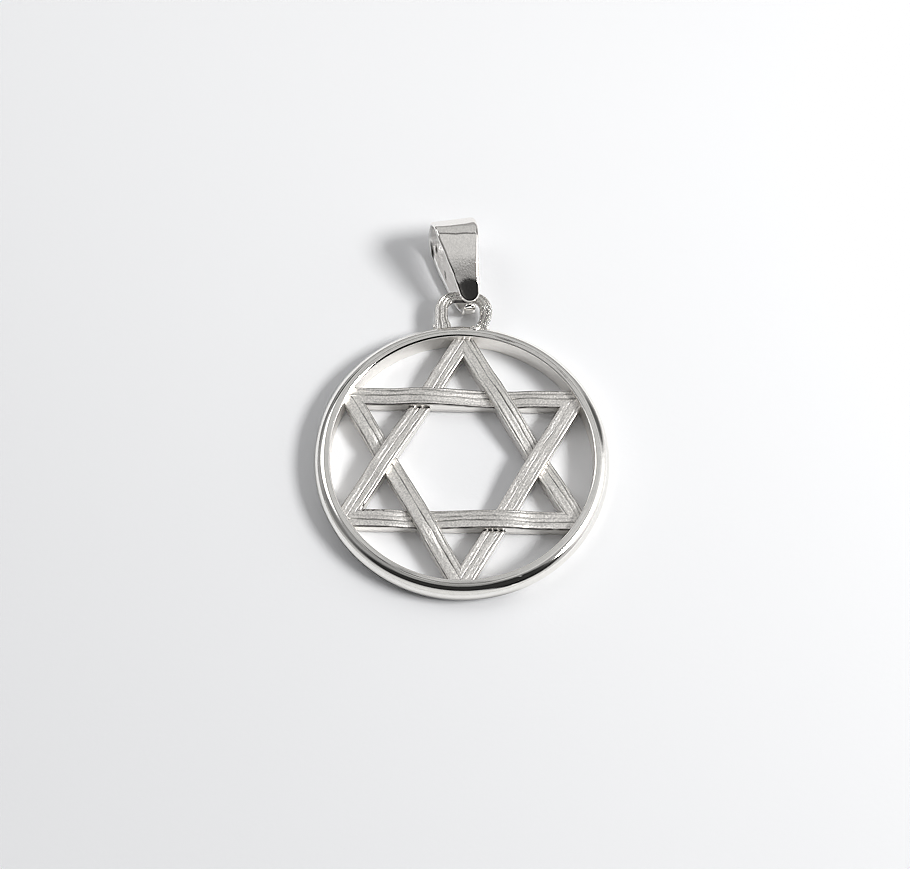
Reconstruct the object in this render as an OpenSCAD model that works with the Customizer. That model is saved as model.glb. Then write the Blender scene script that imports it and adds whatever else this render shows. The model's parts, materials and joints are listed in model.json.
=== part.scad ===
// Round six-pointed star pendant with a folded bail, lying on its back.
// Millimetres. +Z is up and is the side that faces out when the pendant is worn, +Y points to the bail.
// The origin is on the surface that the pendant lies on, below the middle of its outline.

/* [Rim] */
// Outside diameter of the round rim
rim_outer_d = 25; // [19:0.5:40]
// Height of the rim, from its back to its front
rim_height = 2.2; // [1.8:0.1:3.2]
// Depth of the half-round band, from its flat inner wall to its crown
rim_band = 1.35; // [1:0.05:2]

/* [Star] */
// Width of each of the six straps
strap_width = 1.58; // [1.2:0.02:2.2]
// How far the straps' mean front lies below the rim's front
strap_recess = 0.55; // [0.4:0.05:0.7]
// How far the straps' flat back lies above the rim's back
strap_back_gap = 0.3; // [0.1:0.05:0.5]
// How far a strap rises where it passes over another, and dips where it passes under
weave_rise = 0.3; // [0.1:0.05:0.35]
// Width of the raised border along each edge of a strap
border_width = 0.28; // [0.15:0.01:0.4]
// Width of the groove between a border and the strap's middle
groove_width = 0.13; // [0.08:0.01:0.18]
// Depth of that groove
groove_depth = 0.14; // [0.05:0.01:0.2]

/* [Eye] */
// Width of the eye, over its two legs
eye_width = 5.1; // [4.6:0.1:6.4]
// Width of the hole in the eye
eye_hole_width = 2.8; // [2.6:0.1:3.2]
// How far the eye stands out beyond the rim's crown
eye_reach = 3.3; // [3:0.1:4]
// Radial width of the wire at the top of the eye
eye_wire = 0.76; // [0.6:0.02:1]
// Thickness of the eye, from back to front
eye_thickness = 1.1; // [0.9:0.05:1.3]
// Radius of the eye's outer corners
eye_corner_r = 1.75; // [1.2:0.05:2.2]
// Radius of the corners of its hole
eye_hole_corner_r = 0.75; // [0.5:0.05:0.9]
// Width and depth of the step round the eye's edges
eye_step = 0.16; // [0.05:0.01:0.25]

/* [Bail] */
// Distance between the centres of the bail's two turns
bail_length = 4.8; // [4:0.05:8]
// Width of the strip at the turn that the chain runs through
bail_width = 4.2; // [3.2:0.1:5.5]
// Width of the strip's round tip at the eye
bail_tip_width = 1.44; // [1.1:0.02:1.8]
// Thickness of the strip
bail_strip = 0.42; // [0.3:0.02:0.6]
// Inside radius of the turn that the chain runs through
bail_chain_r = 1.98; // [1.7:0.02:2.8]
// Clearance between the eye's wire and the strip that wraps it
bail_clearance = 0.2; // [0.15:0.01:0.4]
// How far the strip's tip lies to the right of its middle at the chain
bail_skew = 0.5; // [0:0.05:0.6]
// How far the bail leans to the left, in degrees
bail_lean = 7.5; // [0:0.5:12]
// How far it rolls to the right on its own length, in degrees
bail_roll = 4.5; // [0:0.5:7]
// How far along the eye's wire the bail has slid from the middle
bail_slide = 0.1; // [0:0.02:0.2]

/* [Hidden] */
$fn = 96;
// A cutter or filler runs this far past what it cuts or fills
past = 1;
straps = 6;
turn = 360 / straps;

// The rim's half-round section: a round of this radius, cut flat on the inside, the back and the front
rim_r = rim_outer_d / 2;
rim_inner_r = rim_r - rim_band;
dome_r = (pow(rim_band, 2) + pow(rim_height / 2, 2)) / (2 * rim_band);
dome_at = rim_r - dome_r;

// The star's centre lines meet on the rim's inner wall
strap_at = rim_inner_r / 2;
strap_back = strap_back_gap;
strap_front = rim_height - strap_recess;
// Where a strap crosses its neighbours, along its own length, and where it meets the rim
cross_at = strap_at * tan(turn / 2);
strap_end = rim_inner_r + strap_width;
wave_steps = 16;
turn_steps = 24;
groove_at = strap_width / 2 - border_width - groove_width / 2;
// Each strap laps the next by this hair at their mitre, so that the two are one piece of metal
mitre_lap = 0.04;

// The eye's outline and the middle of its top wire, which the bail turns on
eye_top = rim_r + eye_reach;
pivot_y = eye_top - eye_wire / 2;
wire_reach = sqrt(pow(eye_wire / 2, 2) + pow(eye_thickness / 2, 2));
// The bail's turn at the eye, its turn at the chain and the slope of the straight sides between them
eye_turn_r = wire_reach + bail_clearance;
eye_turn_outer_r = eye_turn_r + bail_strip;
chain_turn_outer_r = bail_chain_r + bail_strip;
pivot_z = eye_turn_outer_r + bail_tip_width / 2 * sin(bail_roll);
// The pitch that lays the bail's chain end on the surface
right_edge = bail_width / 2 - bail_skew;
pitch_across = right_edge * sin(bail_roll);
pitch_drop = chain_turn_outer_r * cos(bail_roll) - pivot_z;
bail_pitch = asin(pitch_drop / norm([bail_length, pitch_across])) + atan2(pitch_across, bail_length);
// The pendant's highest point on the page, and so the place of the disc in the frame
reach_turn = chain_turn_outer_r * norm([cos(bail_pitch) * cos(bail_lean),
    sin(bail_roll) * sin(bail_lean) - cos(bail_roll) * sin(bail_pitch) * cos(bail_lean)]);
reach_side = right_edge * (cos(bail_roll) * sin(bail_lean)
    + sin(bail_roll) * sin(bail_pitch) * cos(bail_lean));
bail_top = pivot_y + bail_length * cos(bail_pitch) * cos(bail_lean) + reach_turn + reach_side;
disc_y = (rim_r - bail_top) / 2;

silver = "gainsboro";

// Height of a strap's front at the distance s along it: over at -cross_at, under at +cross_at
function weave(s) = abs(s) < 2 * cross_at ? strap_front - weave_rise * sin(90 * s / cross_at) : strap_front;

// The front's points from end to end, lowered by drop
function front_line(drop) = concat(
    [[-strap_end, strap_front - drop]],
    [for (i = [0 : wave_steps]) let (s = 2 * cross_at * (2 * i / wave_steps - 1)) [s, weave(s) - drop]],
    [[strap_end, strap_front - drop]]);

// A side profile drawn in X and Z, run across a strap of the given width
module across(width) {
    rotate([90, 0, 0])
        translate([0, 0, -width / 2])
            linear_extrude(width)
                children();
}

module strap_body() {
    across(strap_width)
        polygon(concat([[-strap_end, strap_back]], front_line(0), [[strap_end, strap_back]]));
}

module strap_groove() {
    across(groove_width)
        polygon(concat([[-strap_end - past, rim_height + past]],
            [[-strap_end - past, strap_front - groove_depth]],
            front_line(groove_depth),
            [[strap_end + past, strap_front - groove_depth]],
            [[strap_end + past, rim_height + past]]));
}

// One strap, mitred where it meets the next strap of its own triangle
module strap() {
    mitre = 2 * rim_r;
    intersection() {
        translate([0, strap_at, 0])
            difference() {
                strap_body();
                for (side = [-1, 1])
                    translate([0, side * groove_at, 0])
                        strap_groove();
            }
        translate([0, -mitre_lap, 0])
            linear_extrude(rim_height + past)
                polygon([[0, 0], [mitre * cos(turn / 2), mitre * sin(turn / 2)],
                    [-mitre * cos(turn / 2), mitre * sin(turn / 2)]]);
    }
}

// The six straps, woven over and under, run into the rim as far as the middle of its section
module star() {
    intersection() {
        union() {
            for (i = [0 : straps - 1])
                rotate([0, 0, i * turn])
                    strap();
        }
        cylinder(h = rim_height + past, r = dome_at);
    }
}

module rim() {
    rotate_extrude()
        intersection() {
            translate([dome_at, rim_height / 2])
                circle(r = dome_r);
            translate([rim_inner_r, 0])
                square([rim_band + past, rim_height]);
        }
}

// A doorway outline: straight legs down from a top with two round corners
module doorway(width, top, corner_r) {
    foot = rim_inner_r;
    for (side = [-1, 1])
        translate([side * (width / 2 - corner_r), top - corner_r])
            circle(r = corner_r);
    translate([corner_r - width / 2, foot])
        square([width - 2 * corner_r, top - foot]);
    translate([-width / 2, foot])
        square([width, top - corner_r - foot]);
}

// One layer of the eye, drawn in from its edges by inset
module eye_layer(inset, thickness) {
    translate([0, 0, pivot_z - thickness / 2])
        linear_extrude(thickness)
            difference() {
                doorway(eye_width - 2 * inset, eye_top - inset, eye_corner_r - inset);
                doorway(eye_hole_width + 2 * inset, eye_top - eye_wire + inset, eye_hole_corner_r + inset);
            }
}

// The eye, rooted in the rim as deep as the middle of its section
module eye() {
    difference() {
        union() {
            eye_layer(0, eye_thickness - 2 * eye_step);
            eye_layer(eye_step, eye_thickness);
        }
        cylinder(h = pivot_z + eye_thickness, r = dome_at);
    }
}

// Points on a round turn of radius r about [at, 0], from one angle to another
function turn_points(at, r, from, to) =
    [for (i = [0 : turn_steps]) let (a = from + (to - from) * i / turn_steps) [at + r * cos(a), r * sin(a)]];

// Two turns and the straight sides that touch both, seen from the bail's side
module teardrop(eye_end_r, chain_end_r) {
    slope = asin((chain_end_r - eye_end_r) / bail_length);
    polygon(concat(turn_points(bail_length, chain_end_r, -90 - slope, 90 + slope),
        turn_points(0, eye_end_r, 90 + slope, 270 - slope)));
}

// The strip's outline seen from the front: a round tip that widens to the chain end
module strip_outline() {
    tip_at = bail_tip_width / 2 - eye_turn_outer_r;
    end_at = bail_length + chain_turn_outer_r + past;
    shoulder_at = bail_length + chain_turn_outer_r / 2;
    translate([0, tip_at])
        circle(r = bail_tip_width / 2);
    left_edge = right_edge - bail_width;
    polygon([[bail_tip_width / 2, tip_at], [right_edge, shoulder_at], [right_edge, end_at],
        [left_edge, end_at], [left_edge, shoulder_at], [-bail_tip_width / 2, tip_at]]);
}

// The bail along +Y from the middle of the turn at the eye
module bail_loop() {
    depth = 2 * (chain_turn_outer_r + past);
    intersection() {
        rotate([90, 0, 90])
            translate([0, 0, -bail_width])
                linear_extrude(2 * bail_width)
                    difference() {
                        teardrop(eye_turn_outer_r, chain_turn_outer_r);
                        teardrop(eye_turn_r, bail_chain_r);
                    }
        translate([0, 0, -depth / 2])
            linear_extrude(depth)
                strip_outline();
    }
}

module medallion() {
    color(silver)
        translate([0, disc_y, 0]) {
            rim();
            star();
            eye();
        }
}

module bail() {
    color(silver)
        translate([bail_slide, disc_y + pivot_y, pivot_z])
            rotate([0, 0, bail_lean])
                rotate([bail_pitch, 0, 0])
                    rotate([0, bail_roll, 0])
                        bail_loop();
}

medallion();
bail();
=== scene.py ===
# Looks of a round six-pointed star pendant that lies on white paper in soft light from the right.
# Shapes are worked out in millimetres in the frame's own axes and turned into metres as meshes.

import json
import math

import bpy
import numpy as np
from mathutils import Matrix, Vector, noise


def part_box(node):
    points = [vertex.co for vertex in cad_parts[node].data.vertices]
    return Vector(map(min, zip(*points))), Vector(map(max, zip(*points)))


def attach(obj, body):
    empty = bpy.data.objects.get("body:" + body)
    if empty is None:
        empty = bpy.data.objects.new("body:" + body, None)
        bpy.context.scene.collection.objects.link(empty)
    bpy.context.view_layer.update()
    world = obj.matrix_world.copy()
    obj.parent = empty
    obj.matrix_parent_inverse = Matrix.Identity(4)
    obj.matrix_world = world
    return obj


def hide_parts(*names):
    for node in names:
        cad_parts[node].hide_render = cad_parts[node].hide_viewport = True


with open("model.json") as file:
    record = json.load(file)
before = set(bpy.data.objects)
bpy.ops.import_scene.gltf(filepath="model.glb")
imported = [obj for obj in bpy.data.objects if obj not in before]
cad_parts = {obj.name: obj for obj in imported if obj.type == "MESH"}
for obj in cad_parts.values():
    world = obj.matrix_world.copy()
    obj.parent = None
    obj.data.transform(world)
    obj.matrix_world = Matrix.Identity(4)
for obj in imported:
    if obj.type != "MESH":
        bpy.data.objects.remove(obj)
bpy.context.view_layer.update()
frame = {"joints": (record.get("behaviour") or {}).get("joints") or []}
MM = 0.001


# Places and sizes that come from the frame
medallion_low, medallion_high = (np.array(c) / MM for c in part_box("medallion"))
RIM_R = (medallion_high[0] - medallion_low[0]) / 2
RIM_HEIGHT = medallion_high[2]
DISC_Y = medallion_low[1] + RIM_R
EYE_TOP = medallion_high[1] - DISC_Y
swing = next(j for j in frame["joints"] if j["name"] == "bail_swing")
PIVOT = np.array(swing["pos_m"]) / MM

# The rim's half-round section: a round with a flat inner wall, whose foot is rounded by a small fillet
RIM_BAND = 1.35
RIM_INNER_R = RIM_R - RIM_BAND
DOME_R = (RIM_BAND ** 2 + (RIM_HEIGHT / 2) ** 2) / (2 * RIM_BAND)
DOME_AT = RIM_R - DOME_R
RIM_FILLET = 0.16
# The dome's arc, in degrees, and steps round the rim and in each part of its section
CROWN_FROM = 92
CROWN_TO = -96
RIM_SEGMENTS = 640
CROWN_STEPS = 76
RIM_FLAT_STEPS = 7
RIM_FILLET_STEPS = 8
RIM_WALL_STEPS = 12
# Height of the narrow flat that breaks its inner edge: in the middling section that its marks are placed by,
# then all round, and at the far left, along this stretch
RIM_EDGE_FLATS = (0.08, 0.04, 0.13)
RIM_WIDE_TURN = (1.3, 1.9, 2.3, 2.9)
# How far it is out of round: waves in one turn, height and phase of each
RIM_WAVES = ((3, 0.012, 0.6), (7, 0.008, 2.0))
# Shallow flats that the polishing left: how many, end to end, are as long as the rim's radius, their width
# across it, and their depth
RIM_FLATS_PER_RADIUS = 4
RIM_FLAT = 0.45
RIM_FLAT_DEPTH = 0.006
# Finer lines that run round it: how much narrower than the flats, and their depth
RIM_LINE = np.array([0.6, 0.6, 2.8])
RIM_LINE_DEPTH = 0.0014
# Two small burrs at the near right: angle, distance round the section from the top of the inner wall, height
RIM_BURRS = ((291.0, 1.1, 0.03), (294.0, 0.75, 0.025))
RIM_BURR_LENGTH = 0.1
RIM_BURR_WIDTH = 0.06
# What lies this near the inner wall looks like the wall
RIM_WALL_DEPTH = 0.02
# Painted shade: its near outside is darker between these heights, and along this stretch, in place of the
# shadow that its foot reflects
RIM_FOOT = (0.9, 1.6)
RIM_FOOT_TURN = np.radians((190.0, 232.0, 282.0, 300.0))
# Painted shade: a thin dark line runs along its near inner edge: distance round the section, half width, and
# the stretch
RIM_SHADE_LINE = (0.36, 0.035)
RIM_SHADE_LINE_TURN = np.radians((212.0, 232.0, 285.0, 296.0))

# The star's straps
STRAPS = 6
MITRE_SLOPE = math.tan(math.radians(180 / STRAPS))
STRAP_WIDTH = 1.58
STRAP_HALF = STRAP_WIDTH / 2
STRAP_AT = RIM_INNER_R / 2
STRAP_BACK = 0.3
STRAP_FRONT = RIM_HEIGHT - 0.55
STRAP_REACH = 11.7
# The visual star lies this far off the rim's middle
STAR_OFF = (0.0, -0.1, -0.06)
CROSS_AT = STRAP_AT * MITRE_SLOPE
WEAVE_RISE = 0.3
# In distances to a crossing: the weave is full as far as the first, and gone from the second on
WEAVE_FADE = (1.3, 2.2)
# Rows along a strap, even columns across its middle, and columns close to its edge, as distances from it
STRAP_STEPS = 200
STRAP_COLUMNS = 54
STRAP_MIDDLE_FROM = 0.125
STRAP_EDGE_COLUMNS = np.array([0, 0.012, 0.03, 0.05, 0.075, 0.1])
# Its edge is broken by a flat of this width and slope, then rounded over the same width and depth
EDGE_FLAT = 0.09
EDGE_SLOPE = 0.5
EDGE_ROUND = 0.03
# Heights of the points on a strap's side walls, as shares from its back to its front
WALL_SHARES = (0.1, 0.45, 0.8)
# Each chased line is a groove or a ridge: its depth or height, and how far it spreads
GROOVE_DEPTH = 0.045
GROOVE_SPREAD = 0.05
RIDGE_HEIGHT = 0.03
RIDGE_SPREAD = 0.11
# How far each line wanders, its step in seed, and the length of its waves
LINE_DRIFTS = ((0.06, 0.3, 3.2), (0.02, 1.7, 0.9))
# Each strap's lines from its inner edge to its outer edge: place from its middle, and share of the full
# height (ridges) or depth (grooves, below zero)
STRAP_LINES = (
    ((-0.64, 0.5), (-0.54, -0.5), (-0.15, 0.6), (0.06, -0.9), (0.30, 0.7), (0.50, -0.7), (0.64, 0.6)),
    ((-0.70, 0.3), (-0.53, -0.6), (-0.06, -0.8), (0.45, 0.9), (0.68, -0.4)),
    ((-0.60, -0.6), (-0.36, 0.5), (-0.10, -0.9), (0.14, 0.9), (0.32, 0.8), (0.66, -0.4)),
    ((-0.62, -0.7), (-0.42, 0.6), (-0.22, -0.4), (-0.02, 0.6), (0.18, -0.8), (0.48, 0.7)),
    ((-0.55, 0.6), (-0.20, -0.5), (0.10, 0.5), (0.50, -0.4)),
    ((-0.70, 0.4), (-0.55, -0.8), (-0.44, 0.8), (-0.04, 0.6),
     (0.12, -0.9), (0.30, 0.7), (0.52, -0.8), (0.68, 0.4)),
)
# Painted shade: how dark the line along each strap's inner edge and its outer edge is, where it runs and how
# far it spreads
STRAP_EDGES = ((1.3, 1.0), (0.2, 0.5), (0.5, 0.6), (0.5, 1.3), (0.2, 0.2), (0.15, 0.6))
STRAP_EDGE_IN = 0.04
STRAP_EDGE_SPREAD = 0.045
# Painted shade: how dark the gap is where each strap dives under its neighbour, and where it comes out again
STRAP_GAPS = ((0.1, 0.1), (1.0, 0.2), (0.1, 0.1), (0.1, 0.3), (0.2, 1.0), (0.1, 0.1))
GAP_OFF = 0.03
GAP_SPREAD = 0.07
GAP_DEPTH = 0.2
GAP_GRAIN = 0.22
# Small pits with painted shade where the lower left point's straps meet: strap, place along it, place across
# it, radius
STRAP_PITS = ((3, 8.15, -0.72, 0.1), (3, 7.8, -0.74, 0.08), (3, 7.35, -0.73, 0.09), (3, 6.5, -0.74, 0.07),
              (1, -7.95, -0.72, 0.07))
# How dark the painted shade is in a groove's floor, in a gap and at the darkest spot
GROOVE_DARK = 0.65
GAP_DARK = 1.3
STRAP_DARKEST = 1.5
# Fine streaks and soft unevenness of the front: height and size of the grain
STREAKS = (0.0025, 0.11)
STREAK_STRETCH = 0.1
UNEVENNESS = (0.004, 0.4)

# The eye
EYE_WIDTH = 5.1
EYE_HOLE_WIDTH = 2.8
EYE_WIRE = 0.76
EYE_THICKNESS = 1.1
EYE_CORNER_R = 1.75
EYE_HOLE_CORNER_R = 0.75
EYE_FOOT = RIM_INNER_R + 0.25
EYE_SHOULDER = EYE_TOP - EYE_CORNER_R
# How much narrower its right leg is at the rim, and its hole, which solder fills in the corners
EYE_LEG_LEAN = 0.15
EYE_HOLE_LEAN = 0.24
# Where that is full on the leg, and where it begins and is full in the hole, out from the rim's crown
EYE_LEG_LEAN_FULL = -0.4
EYE_HOLE_LEAN_FADE = (0.8, -0.1)
# Its section from the hole over two ridges to the outside and along the back: share of the way from the hole
# to the outside, share of half the thickness over the middle, and how dark the metal is there
EYE_SECTION = (
    (0.0, -0.6, 0.8),
    (0.0, 0.3, 0.3),
    (0.03, 0.55, 0.0),
    (0.1, 0.74, 0.0),
    (0.17, 0.72, 0.4),
    (0.22, 0.52, 1.0),
    (0.28, 0.76, 0.3),
    (0.4, 0.92, 0.0),
    (0.54, 0.9, 0.2),
    (0.6, 0.66, 1.0),
    (0.66, 0.88, 0.3),
    (0.78, 1.0, 0.0),
    (0.9, 0.84, 0.0),
    (1.0, 0.4, 0.5),
    (1.0, -0.6, 0.8),
    (0.9, -0.95, 0.0),
    (0.1, -0.95, 0.0),
)
# How dark the painted shade is in the valleys on its left leg, its right leg and its top, and in the hole's
# upper left corner
EYE_LEFT_DARK = 0.6
EYE_RIGHT_DARK = 0.08
EYE_TOP_DARK = 0.03
EYE_CORNER_DARK = 1.1
# That corner's middle, and how far across and down from the hole's top it is full and ends
EYE_CORNER_X = -0.35
EYE_CORNER_ACROSS = (0.3, 0.9)
EYE_CORNER_DOWN = (0.2, 0.5)
# Where the legs' shade and the right leg's pits begin and are full, up from the eye's shoulders, and where
# the pits begin and are full across it
EYE_SHADE_FADE = (0.9, -0.2)
EYE_PITS_FADE = (0.6, -0.2)
EYE_PITS_ACROSS = (0.9, 1.6)

# The drops of solder where the eye meets the rim, and the one in the corner of its hole: place across, place
# out from the disc's middle, height, half width, half length and half height
SOLDER_DROPS = (
    (-2.35, 12.35, 1.55, 0.34, 0.24, 0.2),
    (-1.75, 12.45, 1.5, 0.26, 0.2, 0.2),
    (0.95, 11.95, 2.0, 0.4, 0.3, 0.2),
    (1.75, 12.3, 1.6, 0.45, 0.34, 0.25),
    (-1.23, 14.88, 1.45, 0.2, 0.22, 0.2),
)
# Points round a drop and down it, degrees from its top to the first, and the height and size of its bumps
DROP_AROUND = 32
DROP_DOWN = 16
DROP_CAP = 8
DROP_UNEVENNESS = 0.2
DROP_GRAIN = 0.6

# The bail's strip: half its thickness, and how far in its left and right edges are rounded
BAIL_HALF_STRIP = 0.21
BAIL_LEFT_EDGE = 0.2
BAIL_RIGHT_EDGE = 0.32
# How the bail lies: in degrees, it leans to the left, its chain end is raised and it rolls to the right. Then
# how far it has slid along the wire
BAIL_LEAN = 7.5
BAIL_PITCH = 14.1
BAIL_ROLL = 4.5
BAIL_SLIDE = 0.1
# Length of the strip's tips in which its rows lie close together, the rows there and between the tips,
# columns across each of its faces, and steps in each span of its course
BAIL_TIP_LENGTH = 1.2
BAIL_TIP_ROWS = 26
BAIL_ROWS = 168
BAIL_COLUMNS = 45
BAIL_SPAN_STEPS = 16
# Height of the arch across the front's tip, and where it ends and is full
BAIL_DISH = 0.1
BAIL_DISH_FADE = (1.7, 0.7)
# Height and size of the dents all over
BAIL_DENTS = 0.006
BAIL_DENT_SIZE = 0.9
# The fold's slant where it begins, the change to its slant at its end, and where that change lies
BAIL_SLANT = -0.05
BAIL_SLANT_CHANGE = 0.11
BAIL_SLANT_TURN = (5.6, 7.0)
# Where the slant sets in, and the place across that it turns about
BAIL_SLANT_FADE = (3.5, 5.0)
BAIL_SLANT_ABOUT = 1.6
# The front is brushed: where that ends and is full, how much of it the tip has, and where the tip ends
BAIL_BRUSHED_FADE = (4.2, 1.8)
BAIL_TIP_BRUSHED = 0.25
BAIL_TIP_FADE = (0.7, 1.3)
# Dark patches on the back's inner face: distance along, distance across, and how far they spread both ways
BAIL_DARK_PATCHES = ((4.9, -2.14, 0.6, 0.12), (5.2, -1.75, 0.4, 0.1), (2.6, -1.3, 0.5, 0.05))
# The strip from its round tip over the fold for the chain, along the back and round the eye's wire, in the
# bail's own axes: distance along from the wire, height over it, left edge and right edge
BAIL_COURSE = (
    (-0.86, 1.31, -0.56, 1.01),
    (0.00, 1.63, -0.76, 1.07),
    (0.42, 1.785, -0.88, 1.09),
    (0.88, 1.94, -1.00, 1.11),
    (1.60, 2.07, -1.17, 1.15),
    (2.80, 2.17, -1.55, 1.25),
    (3.80, 2.19, -1.80, 1.36),
    (4.60, 2.19, -2.10, 1.46),
    (5.20, 2.10, -2.23, 1.53),
    (5.82, 1.85, -2.30, 1.58),
    (6.32, 1.45, -2.32, 1.60),
    (6.76, 0.92, -2.32, 1.60),
    (7.06, 0.36, -2.33, 1.60),
    (7.12, -0.20, -2.34, 1.60),
    (6.95, -0.82, -2.36, 1.60),
    (6.42, -1.50, -2.40, 1.60),
    (5.70, -1.98, -2.38, 1.60),
    (4.80, -2.18, -2.26, 1.50),
    (3.70, -1.95, -2.02, 1.35),
    (2.60, -1.65, -1.76, 1.20),
    (0.80, -1.20, -1.25, 1.00),
    (-0.40, -1.02, -0.80, 0.85),
    (-1.00, -0.78, -0.50, 0.80),
    (-1.28, -0.30, -0.42, 0.78),
    (-1.28, 0.22, -0.38, 0.76),
    (-1.10, 0.62, -0.30, 0.72),
    (-0.78, 0.92, -0.25, 0.68),
)


# Blender's noise stays near 0, so it is made this much stronger
NOISE_GAIN = 1.8


def smoothstep(low, high, value):
    t = np.clip((value - low) / (high - low), 0, 1)
    return t * t * (3 - 2 * t)


def wander(along, seed, wavelength):
    """A slow smooth wander between about -1 and 1 along a length, as a hand leaves it."""
    flat = np.atleast_1d(along).ravel()
    found = [noise.noise(Vector((v / wavelength, seed * 17.3, seed * 5.1))) for v in flat]
    return NOISE_GAIN * np.array(found).reshape(np.shape(along))


def grain(points, size, seed=0.0):
    """Noise of the given grain size at each point, between about -1 and 1."""
    flat = points.reshape(-1, 3) / size + seed * 31.7
    return NOISE_GAIN * np.array([noise.noise(Vector(p)) for p in flat]).reshape(points.shape[:-1])


def make_mesh(name, points, faces, attributes=None):
    mesh = bpy.data.meshes.new(name)
    mesh.from_pydata((np.asarray(points) * MM).tolist(), [], faces)
    mesh.validate()
    mesh.shade_smooth()
    for key, values in (attributes or {}).items():
        layer = mesh.attributes.new(key, "FLOAT", "POINT")
        layer.data.foreach_set("value", np.asarray(values, dtype=np.float32).ravel())
    piece = bpy.data.objects.new(name, mesh)
    bpy.context.scene.collection.objects.link(piece)
    return piece


def grid_faces(rows, columns, wrap_rows=False, wrap_columns=False, first=0):
    """Quads over a grid of points that is stored row by row."""
    row_count = rows if wrap_rows else rows - 1
    column_count = columns if wrap_columns else columns - 1
    i, j = np.meshgrid(np.arange(row_count), np.arange(column_count), indexing="ij")
    i2, j2 = (i + 1) % rows, (j + 1) % columns
    quads = np.stack([i * columns + j, i * columns + j2, i2 * columns + j2, i2 * columns + j], -1)
    return (quads.reshape(-1, 4) + first).tolist()


def closed_tube(rows, columns, first=0):
    """Quads round a tube of points, and one face over each of its two ends."""
    last = first + columns * (rows - 1)
    ends = [list(range(start, start + columns)) for start in (first, last)]
    return grid_faces(rows, columns, False, True, first) + ends


def arc(centre, radius, start, end, steps):
    """Points on a circle from one angle to another, in degrees."""
    a = np.radians(np.linspace(start, end, steps))
    return np.stack([centre[0] + radius * np.cos(a), centre[1] + radius * np.sin(a)], -1)


def run_along(line):
    """Distance along a line of points, from its first point."""
    return np.concatenate([[0], np.cumsum(np.linalg.norm(np.diff(line, axis=0), axis=1))])


# Rim
def rim_section(flat_height):
    """The half-round section as [radius, height], from the top of the inner wall round the dome to its foot.

    Its inner edge is broken by a narrow flat of the given height."""
    crown = arc((DOME_AT, RIM_HEIGHT / 2), DOME_R, CROWN_FROM, CROWN_TO, CROWN_STEPS)
    wall_top = np.array([RIM_INNER_R, RIM_HEIGHT - flat_height])
    flat = wall_top + (crown[0] - wall_top) * np.linspace(0, 1, RIM_FLAT_STEPS)[:, None]
    centre = (RIM_INNER_R + RIM_FILLET, RIM_FILLET)
    fillet = arc(centre, RIM_FILLET, CROWN_TO, -180, RIM_FILLET_STEPS)
    wall_height = np.linspace(RIM_FILLET, wall_top[1], RIM_WALL_STEPS + 2)[1:-1]
    wall = np.stack([np.full(RIM_WALL_STEPS, RIM_INNER_R), wall_height], -1)
    section = np.concatenate([flat, crown, fillet, wall])
    section[:, 1] = np.clip(section[:, 1], 0, RIM_HEIGHT)
    return section


def stretch(turn, ends):
    """1 along a stretch of the rim and 0 elsewhere: where it begins, is full, is still full, and ends."""
    start, full, still_full, end = ends
    return (smoothstep(start, full, turn) * smoothstep(end, still_full, turn))[:, None]


def rim_ripple(turn, round_it):
    """Height of the polishing flats, the finer lines and the burrs, at each angle and round the section."""
    place = np.stack(np.broadcast_arrays(RIM_FLATS_PER_RADIUS * np.cos(turn)[:, None],
                                         RIM_FLATS_PER_RADIUS * np.sin(turn)[:, None],
                                         round_it[None, :] / RIM_FLAT), -1)
    ripple = RIM_FLAT_DEPTH * grain(place, 1.0, 3.0) + RIM_LINE_DEPTH * grain(place * RIM_LINE, 1.0, 5.0)
    for angle, place_round, height in RIM_BURRS:
        along = (turn[:, None] - math.radians(angle)) * RIM_R / RIM_BURR_LENGTH
        across = (round_it - place_round) / RIM_BURR_WIDTH
        ripple = ripple + height * np.exp(-(along ** 2 + across ** 2))
    return ripple


def rim_dark(turn, round_it, outer_half, height):
    """How dark the painted shade is on the rim's near foot, on the outer half of its section, and in the line
    by its inner edge.
    """
    foot_shade = stretch(turn, RIM_FOOT_TURN) * smoothstep(RIM_FOOT[1], RIM_FOOT[0], height) * outer_half
    # The painted dark line wanders a little, and comes and goes
    shade_line_at = RIM_SHADE_LINE[0] + 0.05 * wander(turn, 4.0, 0.5)[:, None]
    shade_line = stretch(turn, RIM_SHADE_LINE_TURN) * np.exp(-((round_it - shade_line_at) / RIM_SHADE_LINE[1]) ** 2)
    shade_line = shade_line * np.clip(0.75 + 0.5 * wander(turn, 9.0, 0.12)[:, None], 0, 1)
    return foot_shade + shade_line


def make_rim():
    section, narrow, wide = (rim_section(height) for height in RIM_EDGE_FLATS)
    ahead = np.roll(section, -1, 0) - np.roll(section, 1, 0)
    outward = np.stack([-ahead[:, 1], ahead[:, 0]], -1) / np.linalg.norm(ahead, axis=1, keepdims=True)
    round_it = run_along(section)
    turn = np.linspace(0, 2 * math.pi, RIM_SEGMENTS, endpoint=False)
    shift = (narrow - section) + stretch(turn, RIM_WIDE_TURN)[..., None] * (wide - narrow)
    section_at = section + shift
    radius = section_at[..., 0]
    for waves, wave_height, phase in RIM_WAVES:
        radius = radius + wave_height * np.sin(waves * turn + phase)[:, None]
    ripple = rim_ripple(turn, round_it)
    radius = radius + ripple * outward[:, 0]
    height = np.clip(section_at[..., 1] + ripple * outward[:, 1], 0, RIM_HEIGHT)
    points = np.stack([radius * np.cos(turn)[:, None], DISC_Y + radius * np.sin(turn)[:, None], height], -1)
    wall = np.broadcast_to(section[:, 0] < RIM_INNER_R + RIM_WALL_DEPTH, height.shape)
    # Painted shade on the near foot and along the near inner edge
    dark = rim_dark(turn, round_it, section[:, 0] > DOME_AT, height)
    return make_mesh("rim", points.reshape(-1, 3), grid_faces(RIM_SEGMENTS, len(section), True, True),
                     {"wall": wall, "dark": dark})


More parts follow.
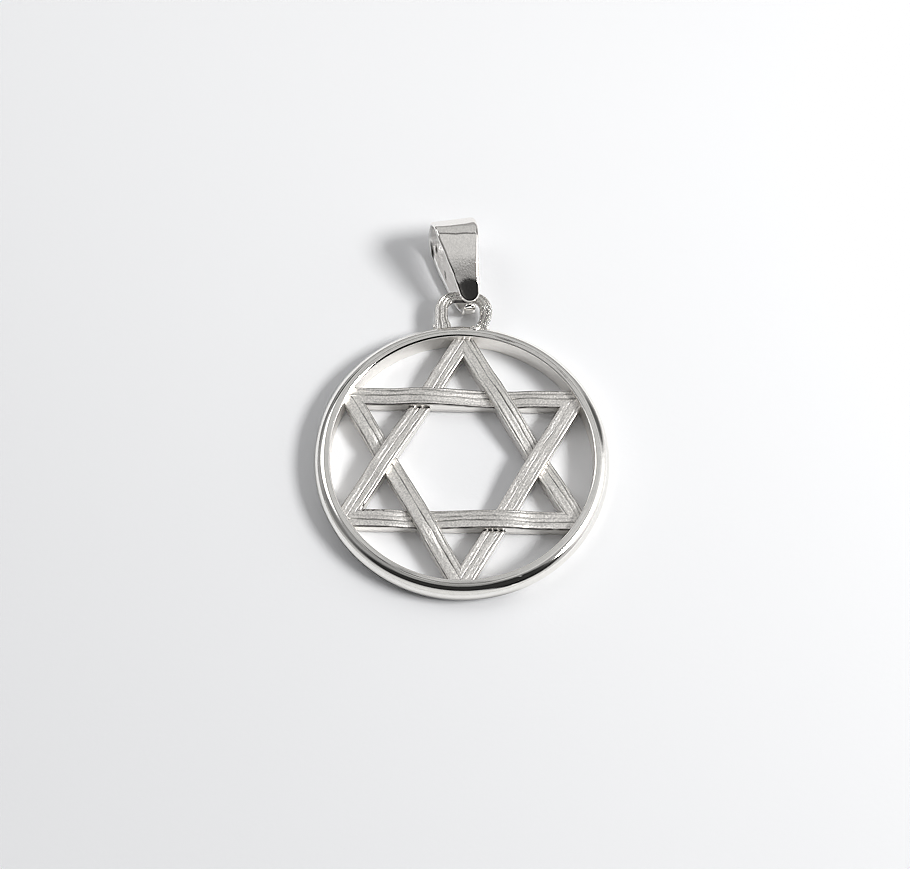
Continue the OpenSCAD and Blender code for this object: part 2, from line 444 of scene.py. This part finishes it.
# Star
def weave(s):
    """Height of a strap's front along it: over one neighbour, under the other, then level at its ends."""
    ease = smoothstep(WEAVE_FADE[1], WEAVE_FADE[0], np.abs(s) / CROSS_AT)
    return STRAP_FRONT - WEAVE_RISE * ease * np.sin(np.radians(90 * s / CROSS_AT))


def strap_sheet():
    """The front's points: places along the strap, across it from its middle, and out from the star's."""
    middle = np.linspace(STRAP_MIDDLE_FROM - STRAP_HALF, STRAP_HALF - STRAP_MIDDLE_FROM, STRAP_COLUMNS)
    across = np.concatenate([STRAP_EDGE_COLUMNS - STRAP_HALF, middle, STRAP_HALF - STRAP_EDGE_COLUMNS[::-1]])
    out = STRAP_AT + across[None, :]
    end = np.minimum(out / MITRE_SLOPE, np.sqrt(STRAP_REACH ** 2 - out ** 2))
    s = np.linspace(-1, 1, STRAP_STEPS)[:, None] * end
    return s, across + 0 * s, out + 0 * s


def chase(index, top, across, line):
    """Chase a strap's lines into its front: its new height, and the painted shade in the grooves."""
    seed = index + 1.0
    hollow_shade = np.zeros_like(top)
    for k, (place, share) in enumerate(STRAP_LINES[index]):
        drift = sum(far * wander(line, seed + step * k, length) for far, step, length in LINE_DRIFTS)
        # The line is deeper here and shallower there
        share = share * np.clip(0.95 + 0.5 * wander(line, seed + 0.7 + k, 1.6), 0, 1.4)[:, None]
        away = across - place - drift[:, None]
        groove = np.clip(-share, 0, None) * np.exp(-(away / GROOVE_SPREAD) ** 2)
        ridge = np.clip(share, 0, None) * np.exp(-(away / RIDGE_SPREAD) ** 2)
        top = top - GROOVE_DEPTH * groove + RIDGE_HEIGHT * ridge
        hollow_shade = hollow_shade + GROOVE_DARK * groove
    return top, hollow_shade


def break_edges(top, across):
    """A strap's edges are broken by a flat, then rounded."""
    inside = STRAP_HALF - np.abs(across)
    flat = EDGE_SLOPE * np.clip(EDGE_FLAT - inside, 0, None)
    return top - flat - EDGE_ROUND * np.clip(1 - inside / EDGE_ROUND, 0, 1) ** 2


def darken_edges(index, hollow_shade, across, line):
    """Painted shade: dark lines along a strap's two edges."""
    for side, share in zip((-1, 1), STRAP_EDGES[index]):
        line_share = share * (1 + 0.4 * wander(line, index + 1.0 + 2.1 * side, 0.7))[:, None]
        away = (STRAP_HALF - STRAP_EDGE_IN - side * across) / STRAP_EDGE_SPREAD
        hollow_shade = hollow_shade + line_share * np.exp(-away ** 2)
    return hollow_shade


def strap_gap(index, s, across, out):
    """The gap with painted shade on both sides of the neighbour that a strap dives under, with the pits next
    to it.
    """
    # Distance past the neighbour's middle line, which crosses at 60 degrees
    past_neighbour = math.sqrt(3) / 2 * s + out / 2 - STRAP_AT
    before, after = STRAP_GAPS[index]
    away = (np.abs(past_neighbour) - STRAP_HALF - GAP_OFF) / GAP_SPREAD
    gap = np.exp(-away ** 2) * np.where(past_neighbour < 0, before, after)
    gap = gap * np.clip(1 + 0.7 * grain(np.stack([s, across, 0 * s], -1), GAP_GRAIN, index + 5.0), 0, 2)
    for strap, pit_along, pit_across, radius in STRAP_PITS:
        if strap == index:
            gap = gap + np.exp(-((s - pit_along) ** 2 + (across - pit_across) ** 2) / radius ** 2)
    return gap


def roughen(index, top, s, across):
    """Fine streaks that run along the strap, and a soft unevenness."""
    height, size = STREAKS
    top = top + height * grain(np.stack([STREAK_STRETCH * s, across, 0 * s], -1), size, index + 10.0)
    height, size = UNEVENNESS
    return top + height * grain(np.stack([s, across, 0 * s], -1), size, index + 1.0)


def side_walls(top_points):
    """Columns of points on a strap's side walls, from the front's last edge round the back to its first."""
    walls = []
    for edge, shares in ((-1, WALL_SHARES[::-1]), (0, WALL_SHARES)):
        for share in shares:
            wall = top_points[:, edge].copy()
            wall[:, 2] = STRAP_BACK + (wall[:, 2] - STRAP_BACK) * share
            walls.append(wall)
    return np.stack(walls, 1)


def strap_grid(index):
    """One strap's points, how much painted shade each has and which are side walls: X along it, Y outwards, Z
    up.
    """
    s, across, out = strap_sheet()
    line = np.linspace(-1, 1, STRAP_STEPS) * STRAP_AT / MITRE_SLOPE
    top, hollow_shade = chase(index, weave(s), across, line)
    hollow_shade = darken_edges(index, hollow_shade, across, line)
    gap = strap_gap(index, s, across, out)
    top = roughen(index, break_edges(top, across) - GAP_DEPTH * gap, s, across)
    # Painted shade from the grooves, edges, gaps and pits, capped at the darkest
    hollow_shade = np.clip(hollow_shade + GAP_DARK * gap, 0, STRAP_DARKEST)
    top_points = np.stack([s, out, top], -1)
    walls = side_walls(top_points)
    on_walls = np.ones(walls.shape[:2])
    grid = np.concatenate([top_points, walls], 1)
    wall = np.concatenate([np.zeros_like(hollow_shade), on_walls], 1)
    hollow_shade = np.concatenate([hollow_shade, 0 * on_walls], 1)
    return grid, hollow_shade, wall


def make_star():
    points, faces, hollows, walls = [], [], [], []
    count = 0
    for index in range(STRAPS):
        grid, hollow_shade, wall = strap_grid(index)
        angle = math.radians(index * 360 / STRAPS)
        x = grid[..., 0] * math.cos(angle) - grid[..., 1] * math.sin(angle)
        y = grid[..., 0] * math.sin(angle) + grid[..., 1] * math.cos(angle)
        placed = np.stack([x, y + DISC_Y, grid[..., 2]], -1) + STAR_OFF
        rows, columns = placed.shape[:2]
        faces += grid_faces(rows, columns, False, True, count)
        points.append(placed.reshape(-1, 3))
        hollows.append(hollow_shade.ravel())
        walls.append(wall.ravel())
        count += rows * columns
    return make_mesh("star", np.concatenate(points), faces,
                     {"hollow_shade": np.concatenate(hollows), "wall": np.concatenate(walls)})


# Eye
def doorway(width, top, corner_r, leg_steps=14, corner_steps=14, top_steps=12):
    """Points of a doorway outline, from the foot of its left leg over the top to its right foot."""
    x = width / 2
    left = np.stack([np.full(leg_steps, -x), np.linspace(EYE_FOOT, top - corner_r, leg_steps)], -1)
    left_turn = arc((-x + corner_r, top - corner_r), corner_r, 180, 90, corner_steps)
    over = np.stack([np.linspace(-x + corner_r, x - corner_r, top_steps), np.full(top_steps, top)], -1)
    right_turn = arc((x - corner_r, top - corner_r), corner_r, 90, 0, corner_steps)
    right = np.stack([np.full(leg_steps, x), np.linspace(top - corner_r, EYE_FOOT, leg_steps)], -1)
    return np.concatenate([left, left_turn[1:], over[1:], right_turn[1:], right[1:]])


def eye_outlines():
    """The eye's outside and its hole: both lean in at the rim, the outside on its right only."""
    outer = doorway(EYE_WIDTH, EYE_TOP, EYE_CORNER_R)
    inner = doorway(EYE_HOLE_WIDTH, EYE_TOP - EYE_WIRE, EYE_HOLE_CORNER_R)
    lean = 1 - EYE_LEG_LEAN * smoothstep(EYE_SHOULDER, RIM_R + EYE_LEG_LEAN_FULL, outer[:, 1])
    outer[:, 0] = np.where(outer[:, 0] > 0, outer[:, 0] * lean, outer[:, 0])
    begins, full = EYE_HOLE_LEAN_FADE
    inner[:, 0] *= 1 - EYE_HOLE_LEAN * smoothstep(RIM_R + begins, RIM_R + full, inner[:, 1])
    return outer, inner


def below_shoulder(ends, flat):
    """0 at the eye's top and 1 along its legs: where it begins and is full, from its shoulders."""
    begins, full = ends
    return smoothstep(EYE_SHOULDER + begins, EYE_SHOULDER + full, flat[..., 1])


def eye_hollow_shade(flat, hole_y, share, valleys):
    """The eye's painted shade: along its valleys, and most in the hole's upper left corner."""
    leg = np.where(flat[..., 0] < 0, EYE_LEFT_DARK, EYE_RIGHT_DARK)
    depth = leg * below_shoulder(EYE_SHADE_FADE, flat) + EYE_TOP_DARK
    below_top = EYE_TOP - EYE_WIRE - hole_y
    away = np.abs(flat[..., 0] - EYE_CORNER_X)
    corner = smoothstep(*EYE_CORNER_ACROSS[::-1], away) * smoothstep(*EYE_CORNER_DOWN[::-1], below_top)
    return depth * valleys + EYE_CORNER_DARK * corner * (valleys > 0) * (share < 0.1)


def make_eye():
    outer, inner = eye_outlines()
    share, high, valleys = np.array(EYE_SECTION).T
    high = high * (EYE_THICKNESS / 2)
    flat = inner[:, None, :] * (1 - share)[None, :, None] + outer[:, None, :] * share[None, :, None]
    z = np.broadcast_to(PIVOT[2] + high[None, :], flat.shape[:2])
    # Its right leg is pitted
    pitted = smoothstep(*EYE_PITS_ACROSS, flat[..., 0]) * below_shoulder(EYE_PITS_FADE, flat)
    # Painted shade along the valleys and in the hole's upper left corner
    hollow_shade = eye_hollow_shade(flat, inner[:, None, 1], share, valleys)
    points = np.stack([flat[..., 0], flat[..., 1] + DISC_Y, z], -1)
    rows, columns = points.shape[:2]
    eye = make_mesh("eye", points.reshape(-1, 3), grid_faces(rows, columns, False, True),
                    {"pitted": pitted, "hollow_shade": hollow_shade})
    sub = eye.modifiers.new("round", "SUBSURF")
    sub.levels = 2
    sub.render_levels = 2
    return eye


# Solder
def make_solder():
    points, faces = [], []
    turn = np.linspace(0, 2 * math.pi, DROP_AROUND, endpoint=False)
    drop = np.radians(np.linspace(DROP_CAP, 180 - DROP_CAP, DROP_DOWN))[:, None]
    level = np.repeat(np.cos(drop), DROP_AROUND, 1)
    sphere = np.stack([np.sin(drop) * np.cos(turn), np.sin(drop) * np.sin(turn), level], -1)
    for k, (x, y, z, wide, deep, high) in enumerate(SOLDER_DROPS):
        ball = sphere * (1 + DROP_UNEVENNESS * grain(sphere, DROP_GRAIN, k + 1.0))[..., None]
        placed = ball * [wide, deep, high] + [x, y + DISC_Y, z]
        faces += closed_tube(DROP_DOWN, DROP_AROUND, k * DROP_AROUND * DROP_DOWN)
        points.append(placed.reshape(-1, 3))
    return make_mesh("solder", np.concatenate(points), faces)


# Bail
def smooth_course(rows, steps):
    """A smooth line through the given rows of numbers."""
    p = np.array(rows)
    p = np.concatenate([[2 * p[0] - p[1]], p, [2 * p[-1] - p[-2]]])
    t = np.linspace(0, 1, steps, endpoint=False)[:, None]
    spans = []
    for a, b, c, d in zip(p, p[1:], p[2:], p[3:]):
        square = (2 * a - 5 * b + 4 * c - d) * t ** 2
        cube = (3 * b - a - 3 * c + d) * t ** 3
        spans.append(0.5 * (2 * b + (c - a) * t + square + cube))
    return np.concatenate([*spans, p[-2:-1]])


def strip_rows():
    """Rows along the strip: distance along it, from the nearer tip, then the course's four columns."""
    course = smooth_course(BAIL_COURSE, BAIL_SPAN_STEPS)
    run = run_along(course[:, :2])
    length = run[-1]
    # Rows lie close together at both ends, where the strip's tips are round
    tip = BAIL_TIP_LENGTH * (1 - np.cos(np.linspace(0, math.pi / 2, BAIL_TIP_ROWS)))
    even = np.linspace(BAIL_TIP_LENGTH, length - BAIL_TIP_LENGTH, BAIL_ROWS + 2)[1:-1]
    at = np.concatenate([tip, even, (length - tip)[::-1]])
    return at, np.minimum(at, length - at), *(np.interp(at, run, column) for column in course.T)


def strip_thickness(x, sunk, half_width, turn):
    """Half the strip's thickness: it thins out over a round edge, at its sides and at its tips alike."""
    at_tip = half_width[:, None] - np.hypot(x, sunk[:, None])
    inside = np.where(sunk[:, None] > 0, at_tip, half_width[:, None] - np.abs(x))
    edge = BAIL_LEFT_EDGE + (BAIL_RIGHT_EDGE - BAIL_LEFT_EDGE) * (1 - np.cos(turn)) / 2
    return BAIL_HALF_STRIP * np.sqrt(1 - (1 - np.clip(inside / edge, 0, 1)) ** 2)


def around_strip(front, back):
    """Both faces of the strip as one ring of columns, which share the strip's two edges."""
    return np.concatenate([front, back[:, -2:0:-1]], 1)


def bail_ring():
    """The strip's points in the bail's own axes, ring by ring, and the Y and Z of its rows."""
    at, from_end, y, z, left, right = strip_rows()
    ahead = np.stack([np.gradient(y, at), np.gradient(z, at)], -1)
    ahead /= np.linalg.norm(ahead, axis=1, keepdims=True)
    normal = np.stack([-ahead[:, 1], ahead[:, 0]], -1)
    middle, half_width = (left + right) / 2, (right - left) / 2
    sunk = np.clip(half_width - from_end, 0, None)
    width = np.sqrt(np.clip(half_width ** 2 - sunk ** 2, 1e-6, None))
    turn = np.linspace(0, math.pi, BAIL_COLUMNS)
    x = -width[:, None] * np.cos(turn)
    thick = strip_thickness(x, sunk, half_width, turn)
    x = x + middle[:, None]
    sheets = [np.stack([x, y[:, None] + side * thick * normal[:, 0, None],
                        z[:, None] + side * thick * normal[:, 1, None]], -1) for side in (1, -1)]
    ring = around_strip(*sheets)
    # The front's tip is dished: its bend runs across the strip as an arch
    across = (x - middle[:, None]) / half_width[:, None]
    dish = BAIL_DISH * across ** 2 * (smoothstep(*BAIL_DISH_FADE, y) * smoothstep(0, 1, z))[:, None]
    ring[..., 2] += around_strip(dish, dish)
    # The fold lies a little askew, one way where it begins and the other way at its end
    slant = BAIL_SLANT + BAIL_SLANT_CHANGE * smoothstep(*BAIL_SLANT_TURN, ring[..., 1])
    ring[..., 1] += slant * (ring[..., 0] - BAIL_SLANT_ABOUT) * smoothstep(*BAIL_SLANT_FADE, ring[..., 1])
    return ring + BAIL_DENTS * grain(ring, BAIL_DENT_SIZE, 7.0)[..., None], y, z


def bail_marks(ring, y, z):
    """Which points are on the strip's inner face, how brushed its front is, and how dark the patches on it
    are.
    """
    rows, columns = ring.shape[:2]
    inside = np.broadcast_to(np.arange(columns) >= BAIL_COLUMNS, (rows, columns))
    beyond_tip = BAIL_TIP_BRUSHED + (1 - BAIL_TIP_BRUSHED) * smoothstep(*BAIL_TIP_FADE, y)
    front = smoothstep(*BAIL_BRUSHED_FADE, y) * beyond_tip * smoothstep(0, 1, z)
    worn = np.where(inside, 0, front[:, None])
    dark_patch = np.zeros((rows, columns))
    for along, place, spread_along, spread_across in BAIL_DARK_PATCHES:
        away = ((ring[..., 1] - along) / spread_along) ** 2 + ((ring[..., 0] - place) / spread_across) ** 2
        dark_patch += np.exp(-away ** 2) * inside * (ring[..., 2] < 0)
    return {"inside": inside, "worn": worn, "dark_patched": dark_patch}


def make_bail():
    ring, y, z = bail_ring()
    lean, pitch, roll = (Matrix.Rotation(math.radians(angle), 3, axis)
                         for angle, axis in ((BAIL_LEAN, "Z"), (BAIL_PITCH, "X"), (BAIL_ROLL, "Y")))
    placed = ring.reshape(-1, 3) @ np.array(lean @ pitch @ roll).T + PIVOT + [BAIL_SLIDE, 0, 0]
    return make_mesh("folded_bail", placed, closed_tube(*ring.shape[:2]), bail_marks(ring, y, z))


# Materials
# The part of the grain between dark specks and bright ones, and how the roughness varies with it
SPECK_RANGE = (0.35, 0.65)
ROUGHNESS_SHARES = (0.8, 1.2)
# Colours of painted shade on the silver, in hollows and on the rim's near foot and inner edge, and of the
# dark patches on the bail
HOLLOW_SHADE_COLOUR = (0.14, 0.135, 0.13)
RIM_SHADE_COLOUR = (0.2, 0.195, 0.19)
BAIL_PATCH_COLOUR = (0.1, 0.095, 0.09)


def feed(links, value, socket):
    """Give a socket its value: a number, a colour, or the output of another node."""
    if isinstance(value, bpy.types.NodeSocket):
        links.new(value, socket)
    else:
        socket.default_value = value


def opaque(colour):
    return (*colour, 1.0)


def new_material(name):
    material = bpy.data.materials.new(name)
    material.use_nodes = True
    nodes = material.node_tree.nodes
    return material, nodes, material.node_tree.links, nodes["Principled BSDF"]


def add_noise(nodes, links, coordinates, size, detail=4.0):
    """Noise with a grain of the given size in millimetres."""
    texture = nodes.new("ShaderNodeTexNoise")
    texture.inputs["Scale"].default_value = 1 / (size * MM)
    texture.inputs["Detail"].default_value = detail
    links.new(coordinates, texture.inputs["Vector"])
    return texture.outputs["Fac"]


def add_bump(nodes, links, shader, relief, height):
    """Raise the surface by a texture as high as the given height."""
    bump = nodes.new("ShaderNodeBump")
    bump.inputs["Strength"].default_value = 1.0
    feed(links, height, bump.inputs["Distance"])
    links.new(relief, bump.inputs["Height"])
    links.new(bump.outputs["Normal"], shader.inputs["Normal"])


def carry_over(nodes, links, value, old, new=(0.0, 1.0), kind="LINEAR"):
    """The value carried over from its old range to a new one, and kept inside the new one."""
    spread = nodes.new("ShaderNodeMapRange")
    spread.interpolation_type = kind
    for socket, end in zip(("From Min", "From Max", "To Min", "To Max"), (*old, *new)):
        feed(links, end, spread.inputs[socket])
    links.new(value, spread.inputs["Value"])
    return spread.outputs["Result"]


def dot(nodes, links, coordinates, vector):
    """The coordinates' dot product with a vector."""
    node = nodes.new("ShaderNodeVectorMath")
    node.operation = "DOT_PRODUCT"
    node.inputs[1].default_value = vector
    links.new(coordinates, node.inputs[0])
    return node.outputs["Value"]


def mix_numbers(nodes, links, factor, low, high):
    """Low where the factor is 0 and high where it is 1."""
    return carry_over(nodes, links, factor, (0.0, 1.0), (low, high))


def mix_colours(nodes, links, factor, low, high):
    """Low where the factor is 0 and high where it is 1."""
    blend = nodes.new("ShaderNodeMix")
    blend.data_type = "RGBA"
    links.new(factor, blend.inputs["Factor"])
    feed(links, low, blend.inputs["A"])
    feed(links, high, blend.inputs["B"])
    return blend.outputs["Result"]


def silver(name, colour, roughness, grain_size, grain_height, dull, marks=(), streak=1.0):
    """Silver with a fine grain, whose darker specks have the share named dull of its brightness.

    Each mark names an attribute, and the colour, grain height and roughness that the silver has where that
    is 1. A mark without a colour keeps the silver's own. The grain is drawn out along Y and Z by streak."""
    material, nodes, links, shader = new_material(name)
    shader.inputs["Metallic"].default_value = 1.0
    coordinates = nodes.new("ShaderNodeTexCoord")
    drawn_out = nodes.new("ShaderNodeMapping")
    drawn_out.inputs["Scale"].default_value = (1, 1 / streak, 1 / streak)
    links.new(coordinates.outputs["Object"], drawn_out.inputs["Vector"])
    texture = add_noise(nodes, links, drawn_out.outputs["Vector"], grain_size)
    specks = carry_over(nodes, links, texture, SPECK_RANGE)
    shade = mix_colours(nodes, links, specks, opaque(dull * c for c in colour), opaque(colour))
    rough = mix_numbers(nodes, links, texture, *(roughness * share for share in ROUGHNESS_SHARES))
    height = grain_height * MM
    for attribute, marked_colour, marked_grain, marked_rough in marks:
        mark = nodes.new("ShaderNodeAttribute")
        mark.attribute_name = attribute
        where = mark.outputs["Fac"]
        if marked_colour:
            shade = mix_colours(nodes, links, where, shade, opaque(marked_colour))
        height = mix_numbers(nodes, links, where, height, marked_grain * MM)
        rough = mix_numbers(nodes, links, where, rough, marked_rough)
    add_bump(nodes, links, shader, texture, height)
    links.new(rough, shader.inputs["Roughness"])
    links.new(shade, shader.inputs["Base Color"])
    return material


def cast_silver():
    # Painted shade darkens the grooves, the strap edges and the gaps
    return silver("cast_silver", (0.93, 0.905, 0.87), roughness=0.46,
                  grain_size=0.15, grain_height=0.034, dull=0.76,
                  marks=[("wall", (0.9, 0.88, 0.85), 0.012, 0.35), ("hollow_shade", HOLLOW_SHADE_COLOUR, 0.02, 0.5)])


def polished_silver():
    return silver("polished_silver", (0.95, 0.925, 0.89), roughness=0.1,
                  grain_size=0.14, grain_height=0.0016, dull=0.92, streak=1.6,
                  marks=[("worn", None, 0.012, 0.13), ("inside", (0.87, 0.86, 0.85), 0.03, 0.3),
                         ("dark_patched", BAIL_PATCH_COLOUR, 0.02, 0.3)])


def banded_silver():
    # The dark mark is painted shade on the rim's near foot and by its inner edge
    return silver("banded_silver", (0.945, 0.93, 0.895), roughness=0.09,
                  grain_size=0.5, grain_height=0.003, dull=0.95,
                  marks=[("wall", (0.94, 0.92, 0.89), 0.06, 0.45), ("dark", RIM_SHADE_COLOUR, 0.003, 0.12)])


def soldered_silver():
    # Painted shade darkens the eye's valleys and its hole's upper left corner
    return silver("soldered_silver", (0.93, 0.91, 0.875), roughness=0.28,
                  grain_size=0.12, grain_height=0.014, dull=0.8,
                  marks=[("hollow_shade", HOLLOW_SHADE_COLOUR, 0.02, 0.3), ("pitted", None, 0.32, 0.2)])


# Pieces
rim = make_rim()
star = make_star()
eye = make_eye()
solder = make_solder()
bail = make_bail()
cast = cast_silver()
polished = polished_silver()
banded = banded_silver()
soldered = soldered_silver()
for piece, material, slot in ((rim, banded, "polished_silver"), (star, cast, "cast_silver"),
                              (eye, soldered, "cast_silver"), (solder, soldered, "cast_silver")):
    piece.data.materials.append(material)
    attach(piece, "medallion")
    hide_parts("medallion")
bail.data.materials.append(polished)
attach(bail, "bail")
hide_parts("bail")


# Paper floor
FLOOR_HALF = 700.0
# Painted shade: the paper is a little greyer towards the near left, in place of the light's fall-off there:
# its two tones, the way there, and from where to where
PAPER_FAR = (0.95, 0.955, 0.968)
PAPER_NEAR_SHADED = (0.785, 0.79, 0.804)
PAPER_SHADE_WAY = Vector((-0.35, -0.94, 0))
PAPER_SHADE_FADE = (-45.0, 70.0)
PAPER_GRAIN = 0.5
PAPER_GRAIN_HEIGHT = 0.01


def white_paper():
    material, nodes, links, shader = new_material("white_paper")
    coordinates = nodes.new("ShaderNodeTexCoord").outputs["Object"]
    # Painted shade: the paper's colour darkens towards the near left, in place of the light's fall-off
    along = dot(nodes, links, coordinates, PAPER_SHADE_WAY / MM)
    falloff = carry_over(nodes, links, along, PAPER_SHADE_FADE, kind="SMOOTHSTEP")
    tone = mix_colours(nodes, links, falloff, opaque(PAPER_FAR), opaque(PAPER_NEAR_SHADED))
    links.new(tone, shader.inputs["Base Color"])
    shader.inputs["Roughness"].default_value = 0.9
    texture = add_noise(nodes, links, coordinates, PAPER_GRAIN, 6.0)
    add_bump(nodes, links, shader, texture, PAPER_GRAIN_HEIGHT * MM)
    return material


def make_floor():
    corners = [(-1, -1, 0), (1, -1, 0), (1, 1, 0), (-1, 1, 0)]
    floor = make_mesh("floor", FLOOR_HALF * np.array(corners), [(0, 1, 2, 3)])
    floor.data.materials.append(white_paper())


make_floor()


# Light
# The key light: where it comes from, as azimuth and elevation, how far off, how wide and high, and its power
KEY_FROM = (-10, 41)
KEY_DISTANCE = 520
KEY_WIDTH = 235
KEY_HEIGHT = 136
KEY_POWER = 2.22
KEY_COLOUR = (1.0, 0.997, 0.992)
# The room's own colour, and each patch: azimuth, elevation, half width, half height, softness, brightness
ROOM_COLOUR = (0.34, 0.34, 0.345)
ROOM_PATCHES = (
    (90, 88, 30, 26, 0.5, 0.29),
    (90, 40, 45, 22, 0.5, 0.56),
    (90, 4, 60, 12, 0.5, 0.42),
    (88, 76, 7, 3, 0.5, 0.07),
    (105, 66, 10, 6, 0.5, 0.55),
    (28, 76, 9, 7, 0.6, 0.62),
    (140, 8, 14, 14, 0.4, 0.22),
    (128, 29, 9, 7, 0.4, 0.1),
    (-165, 24, 20, 20, 0.4, 0.2),
    (5, 32, 26, 23, 0.4, 1.2),
    (8, 6, 24, 12, 0.4, 1.0),
    (40, 25, 9, 14, 0.4, 0.12),
    (42, 66, 16, 15, 0.6, 0.66),
    (50, 52, 12, 7, 0.4, 0.85),
    (76, 58, 20, 3, 0.5, 0.18),
    (152, 45, 15, 13, 0.4, 2.1),
    (-90, 4, 80, 22, 0.5, 0.75),
    (-50, 30, 20, 15, 0.3, 0.02),
    (-90, 54, 50, 20, 0.2, 0.03),
)


def towards(azimuth, elevation):
    """Unit vector to a point of the room: azimuth from +X to +Y and elevation over the floor, in degrees."""
    a, e = math.radians(azimuth), math.radians(elevation)
    return Vector((math.cos(a) * math.cos(e), math.sin(a) * math.cos(e), math.sin(e)))


def make_key():
    """A wide soft light low on the right."""
    direction = towards(*KEY_FROM)
    light = bpy.data.lights.new("key", "AREA")
    light.shape = "ELLIPSE"
    light.size = KEY_WIDTH * MM
    light.size_y = KEY_HEIGHT * MM
    light.energy = KEY_POWER
    light.color = KEY_COLOUR
    key = bpy.data.objects.new("key", light)
    key.location = direction * (KEY_DISTANCE * MM)
    key.rotation_euler = direction.to_track_quat("Z", "Y").to_euler()
    bpy.context.scene.collection.objects.link(key)


def math_node(nodes, links, operation, *values):
    node = nodes.new("ShaderNodeMath")
    node.operation = operation
    for value, socket in zip(values, node.inputs):
        feed(links, value, socket)
    return node.outputs["Value"]


def patch_mask(nodes, links, coordinates, azimuth, elevation, half_width, half_height, soft):
    """1 inside an oval patch of the room and 0 outside it."""
    middle = towards(azimuth, elevation)
    side = towards(azimuth + 90, 0)
    up = middle.cross(side)
    squares = []
    for axis, half in ((side, half_width), (up, half_height)):
        share = dot(nodes, links, coordinates, axis / math.sin(math.radians(half)))
        squares.append(math_node(nodes, links, "MULTIPLY", share, share))
    reach = math_node(nodes, links, "SQRT", math_node(nodes, links, "ADD", *squares))
    inside = carry_over(nodes, links, reach, (1 - soft, 1 + soft), (1.0, 0.0), "SMOOTHSTEP")
    ahead = math_node(nodes, links, "GREATER_THAN", dot(nodes, links, coordinates, middle), 0.0)
    return math_node(nodes, links, "MULTIPLY", inside, ahead)


def make_room():
    """The room as the silver sees it: each patch is an oval of one brightness over what came before."""
    world = bpy.data.worlds.new("room")
    bpy.context.scene.world = world
    world.use_nodes = True
    nodes, links = world.node_tree.nodes, world.node_tree.links
    coordinates = nodes.new("ShaderNodeTexCoord").outputs["Generated"]
    seen = opaque(ROOM_COLOUR)
    for *oval, bright in ROOM_PATCHES:
        mask = patch_mask(nodes, links, coordinates, *oval)
        seen = mix_colours(nodes, links, mask, seen, opaque([bright] * 3))
    links.new(seen, nodes["Background"].inputs["Color"])
    nodes["Background"].inputs["Strength"].default_value = 1.0


make_key()
make_room()


# Camera
# Where it stands, what it looks at, by how many degrees its right side is raised, and its focal length
CAMERA_AT = Vector((-1.92, -55.37, 117.6)) * MM
CAMERA_AIM = Vector((-0.607, -2.376, 0.0)) * MM
CAMERA_ROLL = 2.3
CAMERA_LENS = 59.34
# The tones are sharpened this much, as they are seen and not as light adds up
SEEN_GAMMA = 2.2
SHARPENING = 0.3


def make_camera():
    data = bpy.data.cameras.new("camera")
    data.lens = CAMERA_LENS
    data.sensor_width = 36
    data.clip_start = 1 * MM
    data.clip_end = 10
    camera = bpy.data.objects.new("camera", data)
    forward = (CAMERA_AIM - CAMERA_AT).normalized()
    level = forward.cross(Vector((0, 0, 1))).normalized()
    up = level.cross(forward)
    roll = math.radians(CAMERA_ROLL)
    right = level * math.cos(roll) + up * math.sin(roll)
    up = right.cross(forward)
    axes = Matrix((right, up, -forward)).transposed()
    camera.matrix_world = Matrix.Translation(CAMERA_AT) @ axes.to_4x4()
    bpy.context.scene.collection.objects.link(camera)
    bpy.context.scene.camera = camera


def add_gamma(nodes, links, image, gamma):
    node = nodes.new("CompositorNodeGamma")
    node.inputs["Gamma"].default_value = gamma
    links.new(image, node.inputs["Image"])
    return node.outputs["Image"]


def make_crisp():
    """The picture's edges are crisp: a light sharpening of the tones as they are seen."""
    scene = bpy.context.scene
    scene.use_nodes = True
    nodes, links = scene.node_tree.nodes, scene.node_tree.links
    nodes.clear()
    layers = nodes.new("CompositorNodeRLayers")
    # Highlights are cut to white first
    white = nodes.new("CompositorNodeMixRGB")
    white.blend_type = "DARKEN"
    white.inputs[0].default_value = 1.0
    white.inputs[2].default_value = (1, 1, 1, 1)
    links.new(layers.outputs["Image"], white.inputs[1])
    seen = add_gamma(nodes, links, white.outputs["Image"], 1 / SEEN_GAMMA)
    crisp = nodes.new("CompositorNodeFilter")
    crisp.filter_type = "SHARPEN_DIAMOND"
    crisp.inputs["Fac"].default_value = SHARPENING
    links.new(seen, crisp.inputs["Image"])
    linear = add_gamma(nodes, links, crisp.outputs["Image"], SEEN_GAMMA)
    result = nodes.new("CompositorNodeComposite")
    links.new(linear, result.inputs["Image"])


make_camera()
make_crisp()
bpy.context.scene.view_settings.view_transform = "Standard"
